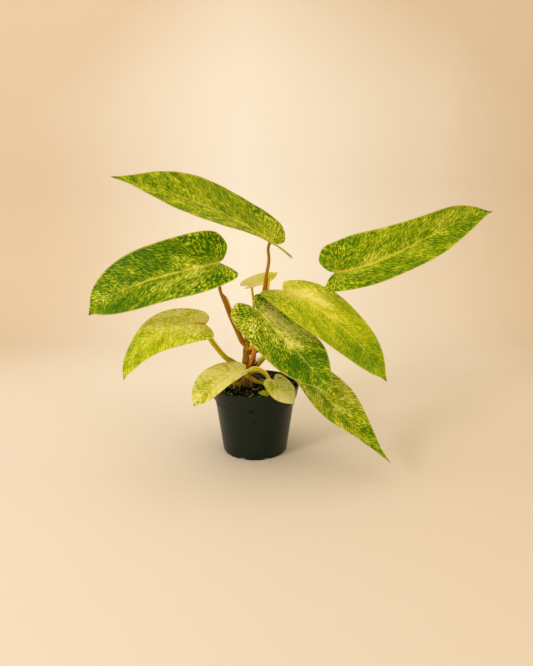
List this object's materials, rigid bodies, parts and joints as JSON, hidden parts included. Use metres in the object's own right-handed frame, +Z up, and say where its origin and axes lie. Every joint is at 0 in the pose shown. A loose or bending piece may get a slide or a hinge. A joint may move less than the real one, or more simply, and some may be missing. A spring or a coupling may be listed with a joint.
{
  "type": "potted painted lady philodendron",
  "caption": "Potted aroid house plant: long heart-shaped leaves streaked green and yellow, on slender winged stalks from a short stem, in a round black nursery pot.",
  "frame": {"origin": "middle of the underside of the pot, on the surface it stands on", "axes": "+Z up along the pot axis, +X to the right in the front view along the spread of the leaves, +Y away from the viewer"},
  "size_m": [0.4676, 0.17, 0.3187],
  "materials": {
    "pot_plastic": "satin black plastic, faint upright sheen and scuffs",
    "potting_mix": "dark crumbly potting mix with pale specks",
    "stem_skin": "olive-brown stem with corky scars and tan aerial roots",
    "cataphyll_skin": "orange-red waxy sheath",
    "dry_sheath": "drying yellow leaf sheath",
    "stalk_red": "reddish-brown waxy leaf stalk",
    "stalk_olive": "olive waxy leaf stalk",
    "stalk_pale": "pale yellow-green waxy leaf stalk",
    "leaf_dark": "satin leaf, dark green streaked with lime",
    "leaf_mid": "satin leaf, mid green streaked with yellow-green",
    "leaf_lime": "satin leaf, yellow-green streaked with green",
    "leaf_cream": "satin leaf, pale cream flecked with green"
  },
  "bodies": {
    "root": {"pot": "pot_plastic", "soil": "potting_mix", "stem": "stem_skin", "petiole_top_left": "stalk_red", "petiole_top_right": "stalk_red", "petiole_upper_left": "stalk_red", "petiole_lower_left": "stalk_olive", "petiole_rim_left": "stalk_pale", "petiole_front": "stalk_red", "petiole_mid_right": "stalk_olive", "petiole_low_right": "stalk_olive", "petiole_rim_right": "stalk_pale", "petiole_soil_right": "stalk_pale", "petiole_back": "stalk_pale", "cataphyll": "cataphyll_skin", "old_sheath": "dry_sheath", "blade_top_left": "leaf_mid", "blade_top_right": "leaf_dark", "blade_upper_left": "leaf_dark", "blade_lower_left": "leaf_lime", "blade_rim_left": "leaf_cream", "blade_front": "leaf_dark", "blade_mid_right": "leaf_lime", "blade_low_right": "leaf_mid", "blade_rim_right": "leaf_cream", "blade_soil_right": "leaf_mid", "blade_back": "leaf_lime"}
  },
  "joints": []
}
